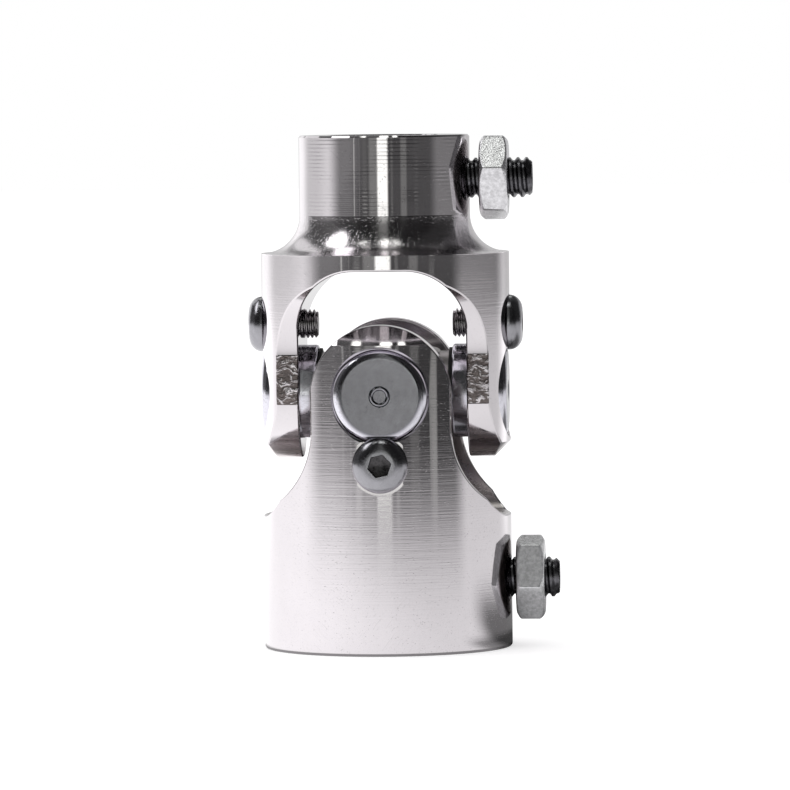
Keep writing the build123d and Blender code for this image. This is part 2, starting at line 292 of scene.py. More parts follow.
def build_lathe(tree: Tree) -> None:
    """Build the height of turning lines across Z: streaks, and a patchy regular feed."""
    bench, (vector, pitch, regular, width, length), out = group_ends(
        tree, "Height", Vector=None, Pitch=0.64, Regular=0.5, Width=0.3, Length=14.0)
    patch_size = (0.5, 0.5, 14.0)
    cell = bench.join(length, length, width)
    streaks = bench.noise(bench.vector("DIVIDE", vector, cell), 1.0, detail=3.0, roughness=0.6)
    patch = bench.vector("DIVIDE", vector, bench.vector("MULTIPLY", cell, patch_size))
    patches = bench.ramp(bench.noise(patch, 1.0, detail=1.0), low=0.35, high=0.6)
    turns = bench.calc("DIVIDE", bench.split(vector)[2], pitch)
    feed = bench.product(bench.calc("SINE", bench.product(turns, math.tau)), patches, regular)
    bench.feed(out, bench.calc("ADD", streaks, feed))


def build_mill(tree: Tree) -> None:
    """Build the height of a rough milled face: noise, warped and drawn out across Z."""
    bench, (vector, size), out = group_ends(tree, "Height", Vector=None, Size=1.0)
    rise_share, stretch = 1.6, (0.9, 0.9, 3.0)
    spot = bench.cells(vector, size)
    warp = bench.noise(spot, 0.8)
    bent = bench.vector("ADD", spot, bench.join(0.0, warp, bench.product(warp, rise_share)))
    drawn = bench.vector("MULTIPLY", bent, stretch)
    bench.feed(out, bench.noise(drawn, 1.6, detail=3.0, roughness=0.68))


def build_mottle(tree: Tree) -> None:
    """Build a soft mottling mask: noise, spread by a contrast about its middle."""
    bench, (vector, size, contrast), out = group_ends(
        tree, "Mask", Vector=None, Size=1.0, Contrast=1.0)
    middle = 0.5
    grain = bench.noise(bench.cells(vector, size), 1.0, detail=4.0, roughness=0.65)
    gain = bench.product(contrast, 2.0)
    spread = bench.plus(middle, bench.calc("SUBTRACT", grain, middle), gain)
    bench.feed(out, bench.calc("MINIMUM", bench.calc("MAXIMUM", spread, 0.0), 1.0))


def least_value(bench: Bench, amount: Socket, share: float) -> Socket:
    """Return the noise value past which a mark shows, lower for a larger amount."""
    return bench.calc("SUBTRACT", 0.8, bench.product(amount, share))


def build_scratch(tree: Tree) -> None:
    """Build a mask of sparse fine scratches that run two ways."""
    bench, (vector, length, width, amount), out = group_ends(
        tree, "Mask", Vector=None, Length=6.0, Width=0.1, Amount=0.3)
    cell, least = bench.join(length, width, width), least_value(bench, amount, 0.25)
    masks = []
    for angles in ((0.5, 0.9, 0.35), (-0.7, -0.35, 0.8)):
        lines = bench.vector("DIVIDE", bench.turn(vector, angles), cell)
        lines = bench.noise(lines, 1.0, detail=0.0)
        masks.append(bench.ramp(lines, least, bench.calc("ADD", least, 0.03)))
    bench.feed(out, bench.calc("MAXIMUM", *masks))


def build_speckle(tree: Tree) -> None:
    """Build a mask of tiny sparse specks."""
    bench, (vector, size, amount), out = group_ends(
        tree, "Mask", Vector=None, Size=0.2, Amount=0.3)
    least = least_value(bench, amount, 0.3)
    spots = bench.noise(bench.cells(vector, size), 1.0, detail=1.0)
    bench.feed(out, bench.ramp(spots, least, bench.calc("ADD", least, 0.08)))


BUILDERS = {
    Effect.BAND: build_band, Effect.LATHE: build_lathe, Effect.MILL: build_mill,
    Effect.MOTTLE: build_mottle, Effect.SCRATCH: build_scratch, Effect.SPECKLE: build_speckle}


@dataclass(frozen=True)
class Mottle:
    """A soft mottle, which runs a finish between two shares of its tone."""

    size: float = 1.5
    contrast: float = 1.0
    tones: Span = (0.9, 1.06)


@dataclass(frozen=True)
class Grain:
    """A fine relief, its scale in cells to the millimetre."""

    scale: float = 6.0
    detail: float = 2.0
    roughness: float = 0.5
    depth: float = 4.0e-6

    def height(self, bench: Bench, place: Socket) -> Socket:
        """Return its height."""
        return bench.noise(place, self.scale, self.detail, self.roughness)


@dataclass(frozen=True)
class Scratches:
    """Sparse fine scratches of another tone, cut in the grain or not."""

    length: float = 3.0
    width: float = 0.08
    amount: float = 0.4
    share: float = 0.4
    tone: float = 1.25
    height: float = -0.8


@dataclass(frozen=True)
class Finish:
    """A surface finish, from which a node material is made.

    A mottle varies its tone and its roughness, and a grain gives it relief.
    """

    name: str
    colour: Colour
    metallic: float = 1.0
    roughness: float = 0.2
    spread: float = 0.1
    anisotropy: float = 0.0
    mottle: Mottle = Mottle()
    grain: Grain = Grain()
    scratches: Scratches | None = None

    def material(self) -> bpy.types.Material:
        """Return this finish's material, built on first use."""
        made = bpy.data.materials.get(self.name)
        if made is not None:
            return made
        made = bpy.data.materials.new(self.name)
        bench = Bench.cleared(made)
        shader = bench.node("ShaderNodeBsdfPrincipled", {
            "Base Color": self.colour, "Metallic": self.metallic, "Roughness": self.roughness})
        place = bench.scaled(bench.coordinates("Object"), 1.0 / MILLIMETRE)
        wired = dict(zip(("Base Color", "Roughness", "Normal"), self.surface(bench, place)))
        if self.anisotropy:
            tangent = bench.node("ShaderNodeTangent", direction_type="RADIAL", axis="Z")
            wired |= {"Anisotropic": self.anisotropy, "Anisotropic Rotation": QUARTER_TURN,
                      "Tangent": tangent.outputs[0]}
        for name, value in wired.items():
            bench.feed(shader.inputs[name], value)
        bench.end("ShaderNodeOutputMaterial", shader)
        return made

    def surface(self, bench: Bench, place: Socket) -> Surface:
        """Make what varies over the surface.

        Args:
            bench: The material's bench.
            place: Object coordinates in millimetres.

        Returns:
            The colour, the roughness and the normal.
        """
        mottle = Effect.MOTTLE.place(
            bench, Vector=place, Size=self.mottle.size, Contrast=self.mottle.contrast)
        tone = bench.mix(mottle, *(self.tinted(share) for share in self.mottle.tones))
        rough = bench.plus(self.roughness, mottle, self.spread)
        height, cut = self.relief(bench, place, mottle), self.scratches
        if cut is not None:
            mask = Effect.SCRATCH.place(
                bench, Vector=place, Length=cut.length, Width=cut.width, Amount=cut.amount)
            height = bench.plus(height, mask, cut.height)
        look = (tone, rough, bench.bump(height, self.grain.depth))
        tone, rough, normal = self.detailed(bench, place, look)
        if cut is not None:
            tone = bench.mix(bench.product(mask, cut.share), tone, self.tinted(cut.tone))
        return tone, rough, normal

    def relief(self, bench: Bench, place: Socket, mottle: Socket) -> Socket:
        """Return the height of the surface, here that of its grain."""
        return self.grain.height(bench, place)

    def detailed(self, bench: Bench, place: Socket, look: Surface) -> Surface:
        """Add a finish's own details, here none.

        Args:
            bench: The material's bench.
            place: Object coordinates in millimetres.
            look: The colour, the roughness and the normal so far.

        Returns:
            The three with the details.
        """
        return look

    def tinted(self, share: float) -> Colour:
        """Return the finish's colour times a share."""
        return tuple(part * share for part in self.colour)


@dataclass(frozen=True)
class TurnedNickel(Finish):
    """Nickel plate over turned and milled steel, for one of the yokes.

    The walls that were turned carry lines round the Z axis. The flats of the
    ears are torn by the cutter, the cove under a collar is grained, and the slot's
    faces, nearer the axis than the walls, carry a painted shade, darker and rougher.
    """

    roughness: float = 0.045
    spread: float = 0.02
    anisotropy: float = 0.92
    mottle: Mottle = Mottle(7.0, 0.8, (0.96, 1.03))
    grain: Grain = Grain(depth=4.8e-6)
    scratches: Scratches = Scratches(5.0, 0.12, 0.25, share=0.35, tone=0.8, height=0.0)
    wall_radii: tuple[float, ...] = (20.7,)
    wall_edges: Span = (-0.03, 0.3)
    edge_blur: float = 0.02
    feed_radius: float = 0.0
    feed_share: float = 0.8
    feed_pitch: float = 0.64
    streak_width: float = 0.3
    flat_axis: int = 0
    flat_reach: float = 11.6
    flat_heights: Span = (36.4, 44.4)
    torn_size: float = 2.6
    torn_depth: float = 2.6e-4
    torn_values: Span = (0.5, 0.61)
    torn_colour: Colour = (0.17, 0.145, 0.14)
    cove_heights: Span | None = None
    cove_grain: Grain = Grain(4.2, 2.0, 0.7, 9.0e-6)
    spark_depth: float = 1.2e-5
    speck_depth: float = 4.5e-6
    # Painted shade in the slot: where it lies, how strong it is and its colour.
    painted_shade_heights: Span = (21.0, 48.5)
    painted_shade_radii: Span = (20.1, 20.3)
    painted_shade_share: float = 0.55
    painted_shade_colour: Colour = (0.4, 0.34, 0.325)
    rough_gains: tuple[float, float, float] = (0.06, 0.09, 0.4)

    def walls(self, bench: Bench, place: Socket) -> tuple[Socket, Socket]:
        """Return the distance from the axis, and the mask of the turned walls."""
        radius, wall = bench.reach(*bench.split(place)[:2]), 0.0
        for reach in self.wall_radii:
            low, high = (reach + edge for edge in self.wall_edges)
            wall = bench.calc("MAXIMUM", wall, bench.band(radius, low, high, self.edge_blur))
        return radius, wall

    def relief(self, bench: Bench, place: Socket, mottle: Socket) -> Socket:
        """Return the height of the turning lines, with a regular feed on one wall."""
        radius, wall = self.walls(bench, place)
        fed = bench.around(radius, self.feed_radius, half=0.05, blur=self.edge_blur)
        return bench.product(Effect.LATHE.place(
            bench, Vector=place, Pitch=self.feed_pitch, Width=self.streak_width,
            Regular=bench.product(self.feed_share, fed)), wall)

    def detailed(self, bench: Bench, place: Socket, look: Surface) -> Surface:
        """Add the torn flats, the grained cove, the specks and the painted shade in the slot."""
        tone, rough, normal = look
        parts = bench.split(place)
        radius, wall = self.walls(bench, place)
        flat_gain, cove_gain, shade_gain = self.rough_gains
        across = bench.calc("ABSOLUTE", parts[self.flat_axis])
        flat = bench.product(bench.around(across, self.flat_reach, half=0.15, blur=self.edge_blur),
                             bench.band(parts[2], *self.flat_heights, blur=0.08))
        torn = Effect.MILL.place(bench, Vector=place, Size=self.torn_size)
        bright = self.tinted(1.1)
        fleck = bench.mix(bench.ramp(torn, *self.torn_values), self.torn_colour, bright)
        tone = bench.mix(flat, tone, fleck)
        normal = bench.bump(bench.product(torn, flat), self.torn_depth, normal)
        rough = bench.plus(rough, flat, flat_gain)
        if self.cove_heights is not None:
            cove = bench.band(parts[2], *self.cove_heights, blur=0.15)
            grain = bench.product(self.cove_grain.height(bench, place), cove)
            normal = bench.bump(grain, self.cove_grain.depth, normal)
            sparks = Effect.SPECKLE.place(bench, Vector=place, Size=0.42, Amount=0.75)
            normal = bench.bump(bench.product(sparks, cove), self.spark_depth, normal)
            rough = bench.plus(rough, cove, cove_gain)
        specks = Effect.SPECKLE.place(bench, Vector=place, Size=0.3, Amount=0.38)
        normal = bench.bump(bench.product(specks, wall), self.speck_depth, normal)
        # Painted shade: the slot's faces are darkened and made rougher.
        shade = bench.product(bench.band(parts[2], *self.painted_shade_heights, blur=1.5),
                              bench.ramp(radius, *self.painted_shade_radii, self.painted_shade_share, 0.0))
        rough = bench.plus(rough, shade, shade_gain)
        return bench.mix(shade, tone, self.painted_shade_colour), rough, normal


@dataclass(frozen=True)
class SatinSteel(Finish):
    """Tumbled steel with a satin mottle, a few scratches and maybe a painted rim highlight.

    The rim's radius is measured from the trunnions' axes.
    """

    spread: float = 0.05
    grain: Grain = Grain(2.0, 4.0, 0.7, 3.0e-6)
    scratches: Scratches = Scratches()
    pivot_height: float = 42.8
    highlight_rim_radii: Span | None = None
    highlight_rim_gain: float = 1.0

    def detailed(self, bench: Bench, place: Socket, look: Surface) -> Surface:
        """Add the painted highlight on the rim."""
        tone, rough, normal = look
        if self.highlight_rim_radii is not None:
            x, y, z = bench.split(place)
            across = bench.calc("MINIMUM", bench.calc("ABSOLUTE", x), bench.calc("ABSOLUTE", y))
            reach = bench.reach(across, bench.calc("SUBTRACT", z, self.pivot_height))
            # Painted highlight: the tone is made brighter over the rim.
            tone = bench.mix(bench.ramp(reach, *self.highlight_rim_radii), tone, self.tinted(self.highlight_rim_gain))
        return tone, rough, normal


@dataclass(frozen=True)
class ZincPlate(Finish):
    """Bright zinc over a cold formed nut, blotched, with a painted shade on its inner face."""

    roughness: float = 0.14
    mottle: Mottle = Mottle(0.7, 1.6, (0.68, 1.04))
    grain: Grain = Grain(3.5, 3.0, 0.7, 2.0e-5)
    pit_share: float = 0.6
    inner_shade_edge: float = 0.0
    inner_shade_blur: float = 0.3
    inner_shade_share: float = 0.95
    inner_shade_colour: Colour = (0.08, 0.066, 0.06)

    def relief(self, bench: Bench, place: Socket, mottle: Socket) -> Socket:
        """Return the height of the blotches, with the pits in them."""
        return bench.plus(mottle, self.grain.height(bench, place), self.pit_share)

    def detailed(self, bench: Bench, place: Socket, look: Surface) -> Surface:
        """Add the painted shade on the inner face."""
        # Painted shade: the face that sits against the yoke is darkened.
        x, edge = bench.split(place)[0], self.inner_shade_edge
        inner_shade = bench.ramp(x, edge, edge + self.inner_shade_blur, self.inner_shade_share, 0.0)
        return bench.mix(inner_shade, look[0], self.inner_shade_colour), *look[1:]


@dataclass(frozen=True)
class BlackOxide(Finish):
    """Black oxide on rolled threads, rubbed brighter in places."""

    mottle: Mottle = Mottle(0.8, 1.8, (1.0, 2.2))


@dataclass(frozen=True)
class GroundSteel(Finish):
    """Hardened and ground steel, with fine lines across its length."""

    spread: float = 0.08
    mottle: Mottle = Mottle(2.5, 1.2, (0.9, 1.05))
    grain: Grain = Grain(depth=8.0e-7)

    def relief(self, bench: Bench, place: Socket, mottle: Socket) -> Socket:
        """Return the height of the grinding lines."""
        return Effect.LATHE.place(
            bench, Vector=place, Pitch=0.12, Regular=0.1, Width=0.1, Length=3.0)


@dataclass(frozen=True)
class MouldedPolymer(Finish):
    """A moulded polymer with a fine moulded grain, for seals and discs."""

    metallic: float = 0.0
    spread: float = 0.12
    mottle: Mottle = Mottle(1.6, 0.9, (0.85, 1.12))
    grain: Grain = Grain(7.0, 3.0, 0.6, 8.0e-6)


NICKEL = (0.72, 0.685, 0.71)
LOWER_NICKEL = TurnedNickel("lower_yoke_nickel", NICKEL, streak_width=0.24)
UPPER_NICKEL = TurnedNickel(
    "upper_yoke_nickel", NICKEL, grain=Grain(depth=2.2e-6), wall_radii=(20.7, 14.25),
    feed_radius=14.25, flat_axis=1, flat_reach=11.0, flat_heights=(41.1, 49.3),
    cove_heights=(65.95, 72.2), painted_shade_heights=(29.0, 34.0))
CUP_STEEL = SatinSteel(
    "bearing_cup_steel", (0.265, 0.26, 0.285), roughness=0.12, spread=0.04,
    highlight_rim_radii=(6.4, 7.1), highlight_rim_gain=2.7)
BUTTON_STEEL = SatinSteel(
    "button_head_steel", (0.345, 0.34, 0.365), roughness=0.17, mottle=Mottle(1.05),
    grain=Grain(1.0 / 0.35, 4.0, 0.7, 3.0e-6))
CROSS_STEEL = SatinSteel(
    "cross_steel", (0.36, 0.34, 0.33), roughness=0.26, spread=0.12, mottle=Mottle(1.8),
    grain=Grain(1.0 / 0.6, 4.0, 0.7, 3.0e-6))
NEEDLE_STEEL = GroundSteel("needle_steel", (0.66, 0.66, 0.68), roughness=0.1)
# The two nuts are the same zinc: the lower nut's copy is painted lighter, paler and less metallic,
# for the light that falls on it.
LOWER_ZINC_LIT = ZincPlate("lower_nut_zinc_lit", (0.96, 0.96, 0.98), metallic=0.64, inner_shade_edge=21.55)
UPPER_ZINC = ZincPlate(
    "upper_nut_zinc", (0.88, 0.87, 0.9), metallic=0.85, inner_shade_edge=16.0, inner_shade_share=0.7)
SET_SCREW_BLACK = BlackOxide("set_screw_black", (0.08, 0.078, 0.085), roughness=0.18)
SHANK_BLACK = BlackOxide("screw_shank_black", (0.22, 0.21, 0.215), roughness=0.24)
# Painted shade: the inside of each hex socket is darker than its screw.
SOCKET_PAINTED_SHADE = BlackOxide("socket_painted_shade", (0.05, 0.048, 0.05), roughness=0.25)
DISC_POLYMER = MouldedPolymer("thrust_disc_polymer", (0.72, 0.69, 0.6), roughness=0.4)
SEAL_RUBBER = MouldedPolymer("seal_rubber_black", (0.02, 0.02, 0.021), roughness=0.55)


def dress(node: str, finish: Finish) -> None:
    """Give a solid of the frame its finish.

    Args:
        node: The solid's name.
        finish: What it is finished with.
    """
    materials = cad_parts[node].data.materials
    if not materials:
        materials.append(None)
    for index in range(len(materials)):
        materials[index] = finish.material()
    log.info("%s dressed in %s", node, finish.name)


def add_object(name: str, data: bpy.types.ID) -> Object:
    """Put a mesh, a lamp or a camera in the scene as a new object, and return it."""
    made = bpy.data.objects.new(name, data)
    bpy.context.scene.collection.objects.link(made)
    return made


def heading(azimuth: float, elevation: float) -> Vector:
    """Return the direction at an azimuth from the front and at an elevation."""
    turn, rise = math.radians(azimuth), math.radians(elevation)
    return Vector((math.sin(turn) * math.cos(rise), -math.cos(turn) * math.cos(rise),
                   math.sin(rise)))


def arc(centre: Span, radius: float, start: float, end: float, steps: int) -> Outline:
    """Return the points of an arc, both ends included.

    Args:
        centre: Its centre.
        radius: Its radius.
        start: The angle that it starts at.
        end: The angle that it ends at.
        steps: How many chords it has.
    """
    angles = (math.radians(start + (end - start) * step / steps) for step in range(steps + 1))
    return [(centre[0] + radius * math.cos(angle), centre[1] + radius * math.sin(angle))
            for angle in angles]


def spin_outline(bm: BMesh, outline: Outline, steps: int, rise: float = 0.0) -> None:
    """Turn an outline once about Z.

    Args:
        bm: What the surface is added to.
        outline: The radius and height of each point.
        steps: How many steps the turn has.
        rise: How far it climbs in the turn, whose ends then stay apart.
    """
    chain = [bm.verts.new((radius, 0.0, height)) for radius, height in outline]
    edges = [bm.edges.new(pair) for pair in zip(chain, chain[1:])]
    bmesh.ops.spin(
        bm, geom=chain + edges, cent=(0.0, 0.0, 0.0), axis=UP, angle=math.tau, steps=steps,
        dvec=(0.0, 0.0, rise / steps), use_merge=not rise)


def made_parts(made: dict, kind: type) -> list:
    """Return the vertices, the edges or the faces that an operator made."""
    return [part for part in made["geom"] if isinstance(part, kind)]


@dataclass(frozen=True)
class Thread:
    """A screw thread, wound about Z one turn at a time.

    Its flanks start and end at shares of the pitch. It is wound from some turns
    below its lower end, and then cut to length.
    """

    crest: float
    root: float
    pitch: float
    root_end: float = 0.1
    crest_start: float = 0.38
    lead_turns: float = 1.5
    steps: int = 56

    def wind(self, bm: BMesh, low: float, high: float) -> None:
        """Wind the thread between two heights, with open ends.

        Args:
            bm: What the thread is added to, empty so far.
            low: Its lower end.
            high: Its upper end.
        """
        half = [(self.root, 0.0), (self.root, self.root_end), (self.crest, self.crest_start)]
        profile = half + [(width, 1.0 - share) for width, share in reversed(half)]
        foot = low - self.pitch * self.lead_turns
        spin_outline(bm, [(width / 2, foot + share * self.pitch) for width, share in profile],
                     self.steps, rise=self.pitch)
        turn = bm.verts[:] + bm.edges[:] + bm.faces[:]
        for count in range(1, math.ceil((high - low) / self.pitch) + 2):
            verts = made_parts(bmesh.ops.duplicate(bm, geom=turn), bmesh.types.BMVert)
            bmesh.ops.translate(bm, vec=(0.0, 0.0, self.pitch * count), verts=verts)
        bmesh.ops.remove_doubles(bm, verts=bm.verts, dist=2.0 * MERGE_DISTANCE)
        for height, way in ((low, -1.0), (high, 1.0)):
            bmesh.ops.bisect_plane(
                bm, geom=bm.verts[:] + bm.edges[:] + bm.faces[:], dist=1.0e-8,
                plane_co=(0.0, 0.0, height), plane_no=(0.0, 0.0, way), clear_outer=True)

    def point(self, bm: BMesh, end: float, way: float, end_radius: float) -> None:
        """Bevel an end of the thread by drawing its crests in to a cone.

        Args:
            bm: The thread.
            end: The height of its end.
            way: 1 at the upper end, and -1 at the lower one.
            end_radius: The radius that is left at the end.
        """
        for vert in bm.verts:
            radius = Vector(vert.co.xy).length
            limit = end_radius + max(0.0, (end - vert.co.z) * way)
            if radius > limit:
                vert.co.x *= limit / radius
                vert.co.y *= limit / radius


def rim_edges(bm: BMesh, height: float) -> Edges:
    """Return the open edges of faces that lie at a height."""
    return [edge for edge in bm.edges if edge.is_boundary
            and all(abs(vert.co.z - height) < MERGE_DISTANCE for vert in edge.verts)]


def fill_between(bm: BMesh, edges: Edges) -> None:
    """Fill the flat space inside a loop, or between a loop and another one."""
    bmesh.ops.triangle_fill(bm, use_beauty=True, use_dissolve=False, edges=edges)


def circle_edges(bm: BMesh, sides: int, radius: float, height: float, turn: float = 0.0) -> Edges:
    """Add a loop of edges.

    Args:
        bm: What it is added to.
        sides: How many corners it has.
        radius: The radius to its corners.
        height: Where it lies.
        turn: How far it is turned about Z.

    Returns:
        Its edges.
    """
    place = Matrix.Translation(UP * height) @ Matrix.Rotation(math.radians(turn), 4, "Z")
    made = bmesh.ops.create_circle(
        bm, cap_ends=False, segments=sides, radius=radius, matrix=place)
    return list({edge for vert in made["verts"] for edge in vert.link_edges})


def pull(bm: BMesh, edges: Edges, drop: float, shrink: float = 1.0) -> Edges:
    """Extrude a loop of edges along Z.

    Args:
        bm: What the loop is in.
        edges: The loop.
        drop: How far down it goes.
        shrink: What its radius is multiplied by.

    Returns:
        The new loop's edges.
    """
    made = bmesh.ops.extrude_edge_only(bm, edges=edges)
    verts = made_parts(made, bmesh.types.BMVert)
    bmesh.ops.scale(bm, vec=(shrink, shrink, 1.0), verts=verts)
    bmesh.ops.translate(bm, vec=(0.0, 0.0, -drop), verts=verts)
    return made_parts(made, bmesh.types.BMEdge)


@dataclass(frozen=True)
class HexSocket:
    """A hexagon socket with a bevelled mouth, sunk in the upper end of a screw."""

    across: float
    depth: float
    bevel: float = 0.12e-3
    turn: float = 0.0
    point_depth: float = 0.3e-3
    point_share: float = 0.15
    finish_index: int = 1

    def sink(self, bm: BMesh, height: float) -> None:
        """Close the open end of a screw round the socket, and sink the socket in it.

        Args:
            bm: The screw.
            height: The height of its open end.
        """
        corner = self.across / 2 / math.cos(HEX_HALF_ANGLE)
        mouth = circle_edges(bm, 6, corner + self.bevel, height, self.turn)
        fill_between(bm, rim_edges(bm, height) + mouth)
        walls = pull(bm, mouth, self.bevel, corner / (corner + self.bevel))
        outside = set(bm.faces)
        floor = pull(bm, walls, self.depth - self.bevel)
        fill_between(bm, pull(bm, floor, self.point_depth, self.point_share))
        # The socket's faces take the painted shade finish.
        for face in set(bm.faces) - outside:
            face.material_index = self.finish_index


def install(piece: Object, body: str, node: str) -> None:
    """Let a piece ride its body in the place of a plain solid.

    Args:
        piece: The piece.
        body: The body that carries it.
        node: The solid that it replaces.
    """
    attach(piece, body)
    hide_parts(node)


class Way(Enum):
    """The four ways that the trunnions and the screws point."""

    FRONT = (0.0, -1.0, 0.0)
    REAR = (0.0, 1.0, 0.0)
    LEFT = (-1.0, 0.0, 0.0)
    RIGHT = (1.0, 0.0, 0.0)

    def frame_at(self, centre: Vector) -> Matrix:
        """Return the placement that turns Z this way and X up, at a point."""
        out = Vector(self.value)
        turn = Matrix((UP, out.cross(UP), out)).transposed().to_4x4()
        return Matrix.Translation(centre) @ turn

    def span(self, node: str) -> tuple[Vector, float]:
        """Measure a solid along this way.

        Args:
            node: The solid's name.

        Returns:
            The middle of its inner end, and its length.
        """
        low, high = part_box(node)
        out = Vector(self.value)
        half = abs((high - low).dot(out)) / 2
        return (low + high) / 2 - out * half, half * 2


@dataclass
class Piece:
    """A finished piece that takes the place of a plain solid of the frame."""

    node: str
    body: str
    way: Way = Way.RIGHT
    finishes: tuple[Finish, ...] = ()
    suffix: str = "finished"
    slot: str = "piece"
    sharp_angle: float = 32.0

    def shape(self, bm: BMesh, length: float, radius: float) -> None:
        """Shape the piece about Z, its inner end at the origin.

        Args:
            bm: What it is built in.
            length: The plain solid's length.
            radius: Half the plain solid's height.
        """
        raise NotImplementedError

    def build(self) -> Object:
        """Build the piece in the place of its plain solid, and return its object."""
        foot, length = self.way.span(self.node)
        low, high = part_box(self.node)
        bm = bmesh.new()
        self.shape(bm, length, (high.z - low.z) / 2)
        bmesh.ops.remove_doubles(bm, verts=bm.verts, dist=MERGE_DISTANCE)
        bmesh.ops.recalc_face_normals(bm, faces=bm.faces)
        bm.transform(self.way.frame_at(foot))
        mesh = bpy.data.meshes.new(f"{self.node}_{self.suffix}")
        bm.to_mesh(mesh)
        bm.free()
        mesh.shade_smooth()
        mesh.set_sharp_from_angle(angle=math.radians(self.sharp_angle))
        for finish in self.finishes:
            mesh.materials.append(finish.material())
        piece = add_object(mesh.name, mesh)
        log.info("%s: %d faces in %s", mesh.name, len(mesh.polygons), self.finishes[0].name)
        install(piece, self.body, self.node)
        return piece


@dataclass
class ThreadedSetScrew(Piece):
    """A set screw with a rolled thread, a hexagon socket and a cup point."""

    finishes: tuple[Finish, ...] = (SET_SCREW_BLACK, SOCKET_PAINTED_SHADE)
    suffix: str = "threaded"
    slot: str = "black_screw"
    thread: Thread = Thread(crest=6.7e-3, root=5.7e-3, pitch=1.411e-3)
    end_radius: float = 2.6e-3
    socket: HexSocket = HexSocket(across=3.97e-3, depth=3.7e-3, bevel=0.15e-3)
    cup_radius: float = 2.0e-3
    cup_depth: float = 1.1e-3
    cup_share: float = 0.1
    cup_sides: int = 32

    def shape(self, bm: BMesh, length: float, radius: float) -> None:
        """Wind the thread, bevel its ends, and sink the socket and the cup."""
        self.thread.wind(bm, 0.0, length)
        self.thread.point(bm, 0.0, -1.0, self.end_radius)
        self.thread.point(bm, length, 1.0, self.end_radius)
        self.socket.sink(bm, length)
        cup = circle_edges(bm, self.cup_sides, self.cup_radius, 0.0)
        fill_between(bm, rim_edges(bm, 0.0) + cup)
        fill_between(bm, pull(bm, cup, -self.cup_depth, self.cup_share))


@dataclass
class RetainingScrew(Piece):
    """A button head screw with a black threaded shank and a hexagon socket."""

    finishes: tuple[Finish, ...] = (BUTTON_STEEL, SHANK_BLACK, SOCKET_PAINTED_SHADE)
    suffix: str = "threaded"
    slot: str = "button_screw"
    thread: Thread = Thread(crest=4.8e-3, root=4.0e-3, pitch=0.7e-3)
    tip_bevel: float = 0.05e-3
    head_height: float = 2.5e-3
    head_edge: float = 0.35e-3
    head_flat: float = 4.4e-3
    head_steps: int = 72
    dome_steps: int = 14
    edge_round: float = 0.12e-3
    socket: HexSocket = HexSocket(across=3.3e-3, depth=1.5e-3, turn=12.0, finish_index=2)

    def head_outline(self, radius: float, seat: float) -> Outline:
        """Return the head's outline from its seat to its flat.

        Args:
            radius: The head's radius.
            seat: The height of its seat.
        """
        flat = self.head_flat / 2
        edge, rise = seat + self.head_edge, self.head_height - self.head_edge
        dome = [(flat + (x - flat) * (radius - flat), edge + z * rise)
                for x, z in arc((flat, 0.0), 1.0, 0.0, 90.0, self.dome_steps)]
        return [(radius - self.edge_round, seat), (radius, seat + self.edge_round), *dome]

    def shape(self, bm: BMesh, length: float, radius: float) -> None:
        """Wind the shank's thread, turn the head, and sink the socket in it."""
        seat = length - self.head_height
        self.thread.wind(bm, 0.0, seat)
        self.thread.point(bm, 0.0, -1.0, self.thread.root / 2 - self.tip_bevel)
        fill_between(bm, rim_edges(bm, 0.0))
        shank = bm.faces[:]
        spin_outline(bm, self.head_outline(radius, seat), self.head_steps)
        fill_between(bm, rim_edges(bm, seat))
        self.socket.sink(bm, length)
        for face in shank:
            face.material_index = 1


@dataclass
class BearingCup(Piece):
    """A drawn bearing cup, with a coined mark in the middle of its face."""

    finishes: tuple[Finish, ...] = (CUP_STEEL,)
    suffix: str = "drawn"
    slot: str = "cup_steel"
    bore_radius: float = 6.71e-3
    floor_thickness: float = 1.6e-3
    corner_radius: float = 1.5e-3
    corner_steps: int = 12
    lip_radius: float = 0.4e-3
    lip_steps: int = 4
    face_inset: float = 0.2e-3
    mark_radius: float = 1.72e-3
    mark_depth: float = 0.2e-3
    mark_slopes: Span = (0.04e-3, 0.02e-3)
    ridge_radius: float = 1.38e-3
    ridge_half_width: float = 0.3e-3
    ridge_share: float = 0.9
    ridge_foot: float = 15.0
    ridge_steps: int = 8
    disc_gap: float = 0.03e-3
    disc_rise: float = 0.04e-3
    steps: int = 128

    def mark(self, face: float) -> Outline:
        """Return the outline of the coined mark, from the flat face to the axis.

        Args:
            face: The height of the face.
        """
        floor = face - self.mark_depth
        ridge = arc((self.ridge_radius, floor), self.ridge_half_width,
                    self.ridge_foot, 180.0 - self.ridge_foot, self.ridge_steps)
        ridge = [(radius, floor + (height - floor) * self.ridge_share) for radius, height in ridge]
        disc = self.ridge_radius - self.ridge_half_width - self.disc_gap
        top = floor + self.disc_rise
        return [(self.mark_radius + self.mark_slopes[0], face),
                (self.mark_radius - self.mark_slopes[1], floor), *ridge,
                (disc, floor), (disc - self.disc_gap, top), (0.0, top)]

    def shape(self, bm: BMesh, length: float, radius: float) -> None:
        """Turn the cup's section about Z."""
        lip, corner = radius - self.lip_radius, radius - self.corner_radius
        floor = length - self.floor_thickness
        spin_outline(bm, [
            (0.0, floor), (self.bore_radius, floor), (self.bore_radius, 0.0),
            *arc((lip, self.lip_radius), self.lip_radius, -90.0, 0.0, self.lip_steps),
            *arc((corner, length - self.corner_radius), self.corner_radius, 0.0, 90.0,
                 self.corner_steps),
            (corner - self.face_inset, length), *self.mark(length)], self.steps)


